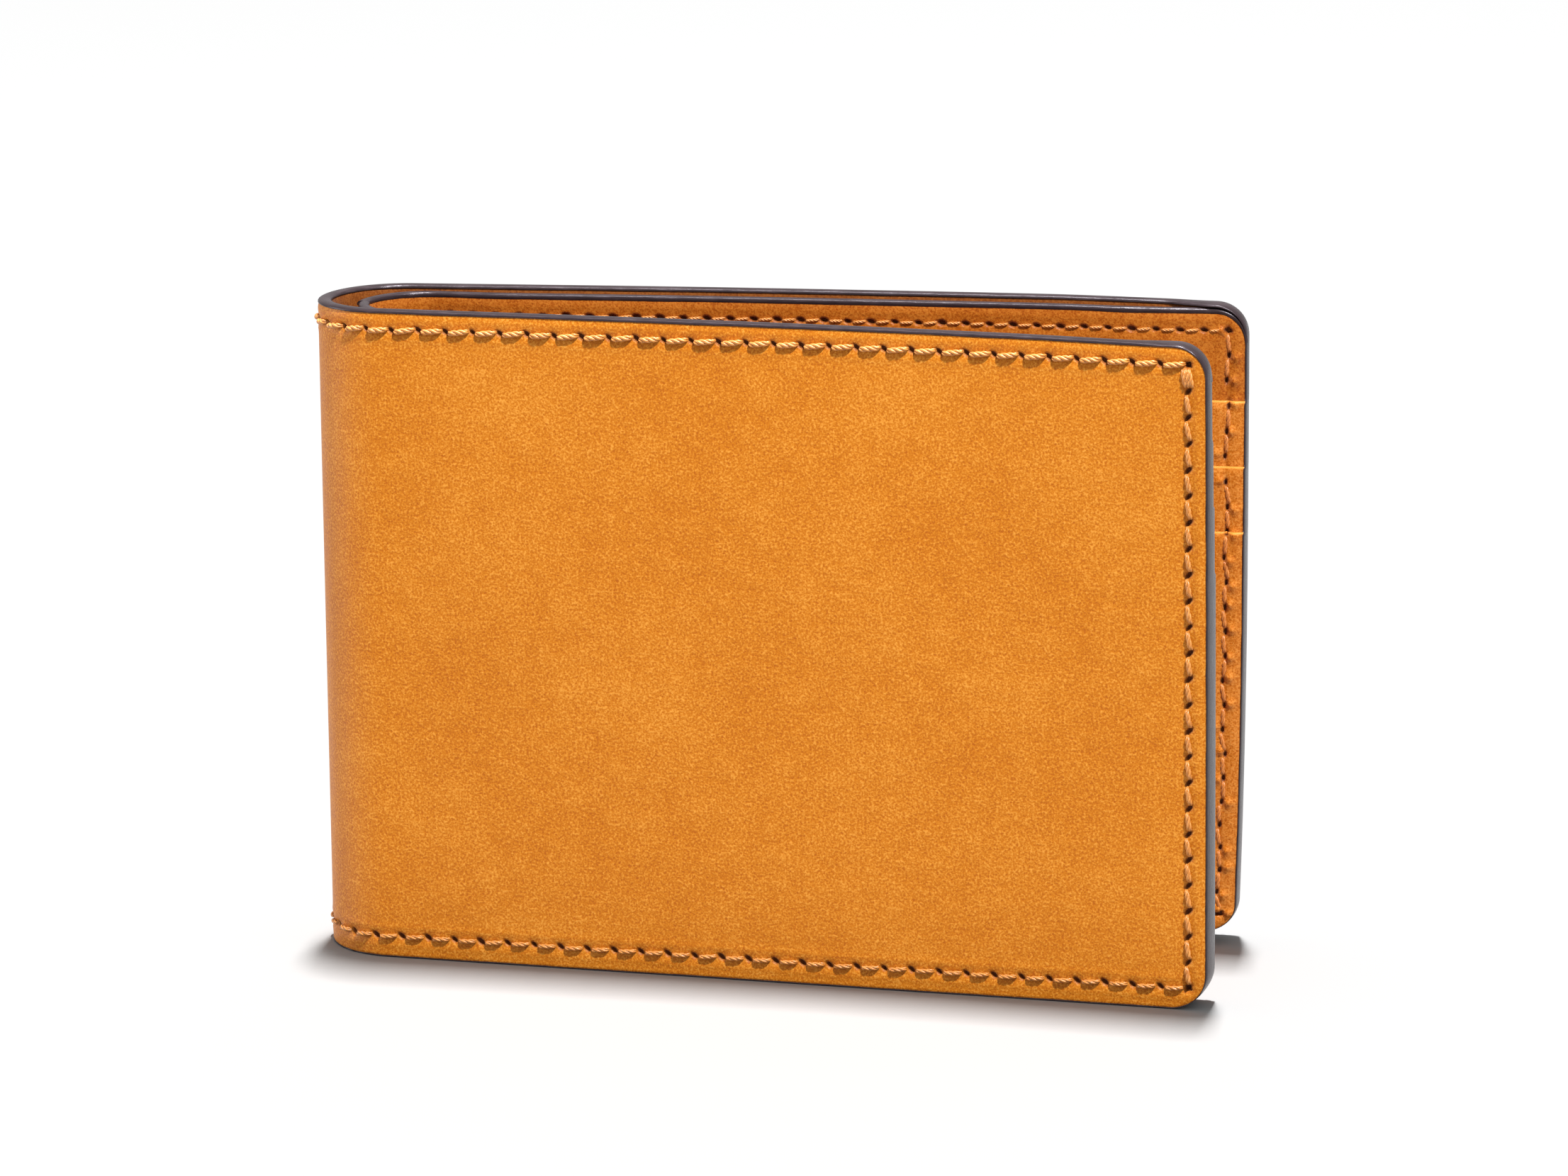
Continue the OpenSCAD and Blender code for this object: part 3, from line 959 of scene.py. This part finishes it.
def make_seams():
    """The seams of a half, on the flat leather."""
    outer, inner = OUTER_HOLES, INNER_HOLES
    top_start, bottom_start = (SHELL.apex, TOP_ROW_Z), (SHELL.apex, BOTTOM_ROW_Z)
    top_corner, bottom_corner = (COLUMN_X, TOP_ROW_Z), (COLUMN_X, BOTTOM_ROW_Z)
    divider_start, divider_end = (DIVIDER.apex, DIVIDER_ROW_Z), (COLUMN_X, DIVIDER_ROW_Z)
    pocket_start = (POCKET_COLUMN_X, POCKET_COLUMN_TOP)
    pocket_end = (POCKET_COLUMN_X, BOTTOM_ROW_Z)
    return {
        "top": Seam(top_start, top_corner, ROW_PITCH, outer, 1),
        "side": Seam(top_corner, bottom_corner, COLUMN_PITCH, outer, 2),
        "bottom": Seam(bottom_corner, bottom_start, ROW_PITCH, outer, 3),
        "inner_side": Seam(divider_end, bottom_corner, COLUMN_PITCH, inner, 4),
        "inner_bottom": Seam(bottom_corner, bottom_start, ROW_PITCH, inner, 5),
        "divider": Seam(divider_start, divider_end, DIVIDER_PITCH, DIVIDER_HOLES, 6),
        "pocket": Seam(pocket_start, pocket_end, COLUMN_PITCH, inner, 7),
    }


SEAMS = make_seams()


def seam_holes(name):
    """The x and z of a seam's holes."""
    return np.array(SEAMS[name].holes()).T


def inner_face_depth(z):
    """Depth of the face that shows inside at height z, on the pockets or the divider."""
    return DIVIDER_IN + POCKET_T * sum(1 for top in POCKET_TOPS if z < top)


def everywhere(_):
    """A seam with every stitch."""
    return True


def clear_of_pocket_edges(place):
    """True if a stitch here doesn't lie across a pocket's top edge."""
    return all(abs(place[1] - top) > 1.2 for top in POCKET_TOPS)


def past_pocket_side(place):
    """True on the part of the bottom seam that the pockets reach."""
    return place[0] > POCKET_X + 3.0


def half_outline(side, x0, top):
    """The outline of a sheet whose CAD solid reaches up to a height."""
    return Outline(x0, BOTTOM_EDGE, top - TOP_EDGE, TOP_R, BOTTOM_R[side])


def cad_nodes(name, side, bends):
    """The CAD nodes that a piece stands for: on its half, and on the spine if it bends there."""
    return [f"{name}_{side}"] + ([f"{name}_spine"] if bends else [])


def finish_sheet(piece, side, run, node, rests_on=None):
    """Hide a sheet's CAD nodes and attach the sheet: folded round the spine, or laid on another."""
    bends = rests_on is None
    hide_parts(*cad_nodes(node, side, bends))
    attach(piece, side, run, bends)


def build_shell(side):
    """The outer shell and the lining inside it."""
    outline = half_outline(side, SHELL.apex, HEIGHT)
    row_x, _ = seam_holes("top")
    _, column_z = seam_holes("side")
    shell = sheet_of_leather(
        f"outer_shell_{side}_leather", side, SHELL, outline, (0.0, SHELL_IN), shell_leather,
        seams=("top", "side", "bottom"), near_x=[*row_x, COLUMN_X], near_z=column_z,
        plain=(SHELL.apex + 0.5, COLUMN_X - PLAIN_GAP,
               BOTTOM_ROW_Z + PLAIN_GAP, TOP_ROW_Z - PLAIN_GAP))
    lining = sheet_of_leather(
        f"shell_lining_{side}_leather", side, SHELL, outline, (SHELL_IN, LINING_IN),
        lining_leather_with_painted_shade, shows_inside=True)
    finish_sheet(shell, side, SHELL, "outer_shell")
    finish_sheet(lining, side, SHELL, "shell_lining")


def build_divider(side):
    """The divider and its lining."""
    outline = half_outline(side, DIVIDER.apex, DIVIDER_TOP)
    row_x, _ = seam_holes("divider")
    _, column_z = seam_holes("inner_side")
    divider = sheet_of_leather(
        f"divider_{side}_leather", side, DIVIDER, outline, (DIVIDER_LINING_IN, DIVIDER_IN),
        inner_leather, seams=("divider", "inner_side"), shows_inside=True,
        near_x=[*row_x, COLUMN_X],
        near_z=[DIVIDER_ROW_Z, *column_z[column_z > POCKET_TOPS[0] - 2]],
        plain=(DIVIDER.apex + 0.5, COLUMN_X - PLAIN_GAP,
               BOTTOM_EDGE + 0.5, DIVIDER_ROW_Z - PLAIN_GAP))
    lining = sheet_of_leather(
        f"divider_lining_{side}_leather", side, DIVIDER, outline,
        (LINING_IN, DIVIDER_LINING_IN), lining_leather_with_painted_shade)
    finish_sheet(divider, side, DIVIDER, "divider")
    finish_sheet(lining, side, DIVIDER, "divider_lining")


def build_pockets(side):
    """The three stepped card pockets. Each lies on the one before, and the first on the divider."""
    row_x, _ = seam_holes("inner_bottom")
    _, column_z = seam_holes("inner_side")
    below = f"divider_{side}_leather"
    for tier, name in enumerate(POCKETS):
        outer = DIVIDER_IN + tier * POCKET_T
        top = POCKET_TOPS[tier]
        outline = Outline(POCKET_X, BOTTOM_EDGE, top - POCKET_ROUNDING, 0.0, BOTTOM_R[side])
        covered_to = POCKET_TOPS[tier + 1] if tier + 1 < len(POCKETS) else 0.0
        pocket = sheet_of_leather(
            f"{name}_{side}_leather", side, DIVIDER, outline, (outer, outer + POCKET_T),
            pocket_leather_with_painted_light, seams=("inner_side", "pocket", "inner_bottom"), shows_inside=True,
            near_x=[*row_x[row_x > POCKET_X], POCKET_COLUMN_X, COLUMN_X],
            near_z=column_z[(column_z < top) & (column_z > covered_to - 2)],
            plain=(POCKET_COLUMN_X + PLAIN_GAP, COLUMN_X - PLAIN_GAP,
                   BOTTOM_ROW_Z + PLAIN_GAP, top - 1.0), rounding=POCKET_ROUNDING)
        finish_sheet(pocket, side, DIVIDER, name,
                     rests_on=[below])
        below = pocket.name


def build_edges(side, seed):
    """Edge paint on the shell and on the divider."""
    shell_outline = half_outline(side, SHELL.apex, HEIGHT)
    divider_outline = half_outline(side, DIVIDER.apex, DIVIDER_TOP)
    bottom = edge_path(("bottom",), divider_outline)
    paths = [edge_path(("top",), divider_outline), bottom[bottom[:, 0] < POCKET_X + 1]]
    shell_bead = bead_object(f"shell_edge_paint_{side}", side, SHELL,
                             [edge_path(("top", "side", "bottom"), shell_outline)],
                             shell_edge_section, edge_paint, seed)
    divider_bead = bead_object(f"divider_edge_paint_{side}", side, DIVIDER, paths,
                               divider_edge_section, edge_paint, seed + 1)
    for piece, run in ((shell_bead, SHELL), (divider_bead, DIVIDER)):
        attach(piece, side, run, True)


def build_threads(side, seed):
    """The stitches that show on one half, outside and inside."""
    outer = thread_object(f"outer_seam_thread_{side}", side, SHELL, [
        ("top", ROW_THREAD, everywhere),
        ("side", COLUMN_THREAD, everywhere),
        ("bottom", BOTTOM_THREAD, everywhere),
    ], False, thread, seed)
    divider = thread_object(f"divider_thread_{side}", side, DIVIDER, [
        ("divider", DIVIDER_THREAD, everywhere),
    ], True, thread, seed + 1)
    inner = thread_object(f"inner_seam_thread_{side}", side, DIVIDER, [
        ("inner_side", INNER_THREAD, clear_of_pocket_edges),
        ("inner_bottom", INNER_THREAD, past_pocket_side),
    ], True, inner_thread, seed + 2)
    pocket = thread_object(f"pocket_thread_{side}", side, DIVIDER, [
        ("pocket", INNER_THREAD, clear_of_pocket_edges),
    ], True, inner_thread, seed + 3)
    for piece, run, name, bends in ((outer, SHELL, "outer_stitches", True),
                                    (divider, DIVIDER, "divider_stitches", True),
                                    (inner, DIVIDER, "inner_stitches", False),
                                    (pocket, DIVIDER, "pocket_stitches", False)):
        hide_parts(*cad_nodes(name, side, bends))
        attach(piece, side, run, bends)


for number, half in enumerate(SIDES):
    build_shell(half)
    build_divider(half)
    build_pockets(half)
    build_edges(half, seed=10 + 20 * number)
    build_threads(half, seed=20 + 20 * number)


# ---- Floor, light and camera ----

def make_floor(size=6.0):
    """A square floor that reaches size metres from the middle."""
    corners = [(-size, -size, 0), (size, -size, 0), (size, size, 0), (-size, size, 0)]
    mesh = bpy.data.meshes.new("floor")
    mesh.from_pydata(corners, [], [(0, 1, 2, 3)])
    mesh.materials.append(floor_material())
    floor = bpy.data.objects.new("floor", mesh)
    bpy.context.scene.collection.objects.link(floor)


def make_light(name, place, aim, size, power, only=None):
    """A rectangular light at a place in metres, which may light only a collection."""
    data = bpy.data.lights.new(name, "AREA")
    data.shape = "RECTANGLE"
    data.size, data.size_y = size
    data.energy = power
    light = bpy.data.objects.new(name, data)
    light.location = place
    light.rotation_mode = "QUATERNION"
    light.rotation_quaternion = (Vector(aim) - Vector(place)).to_track_quat("-Z", "Y")
    bpy.context.scene.collection.objects.link(light)
    if only:
        light.light_linking.receiver_collection = only


def make_camera(place_mm, yaw, pitch, roll, lens):
    """A camera from its place and its angles in degrees. Yaw is clockwise from +Y."""
    yaw, pitch, roll = map(math.radians, (yaw, pitch, roll))
    ahead = Vector((math.sin(yaw) * math.cos(pitch), math.cos(yaw) * math.cos(pitch),
                    -math.sin(pitch)))
    level = Vector((math.cos(yaw), -math.sin(yaw), 0.0))
    down = ahead.cross(level)
    right = math.cos(roll) * level + math.sin(roll) * down
    up = math.sin(roll) * level - math.cos(roll) * down
    data = bpy.data.cameras.new("camera")
    data.sensor_width = 36.0
    data.lens = lens
    data.clip_start, data.clip_end = 0.01, 50.0
    camera = bpy.data.objects.new("camera", data)
    turn = Matrix((right, up, -ahead)).transposed()
    camera.matrix_world = Matrix.Translation(Vector(place_mm) * MM) @ turn.to_4x4()
    bpy.context.scene.collection.objects.link(camera)
    bpy.context.scene.camera = camera


def make_world(strength):
    """Even white light from all round."""
    world = bpy.data.worlds.new("studio")
    world.use_nodes = True
    background = world.node_tree.nodes["Background"]
    background.inputs["Color"].default_value = (1.0, 1.0, 1.0, 1.0)
    background.inputs["Strength"].default_value = strength
    bpy.context.scene.world = world


make_floor()
make_world(strength=0.52)
middle = (0.0, 0.0, HEIGHT / 2 * MM)
make_light("key", place=(0.404, -0.505, 1.05), aim=middle, size=(0.08, 0.08), power=28.6,
           only=wallet)
make_light("spine_fill", place=(-1.5, -0.15, 0.4), aim=middle, size=(0.8, 0.8), power=13.0,
           only=wallet)
make_light("top_light", place=(0.0, 0.40, 4.0), aim=(0.0, 0.0, 0.0), size=(0.16, 0.56),
           power=385.0)
make_camera(place_mm=(134.5, -795.5, 228.0), yaw=-9.477, pitch=12.691, roll=0.607, lens=158.15)

bpy.context.scene.view_settings.view_transform = "Standard"
bpy.context.scene.view_settings.look = "None"
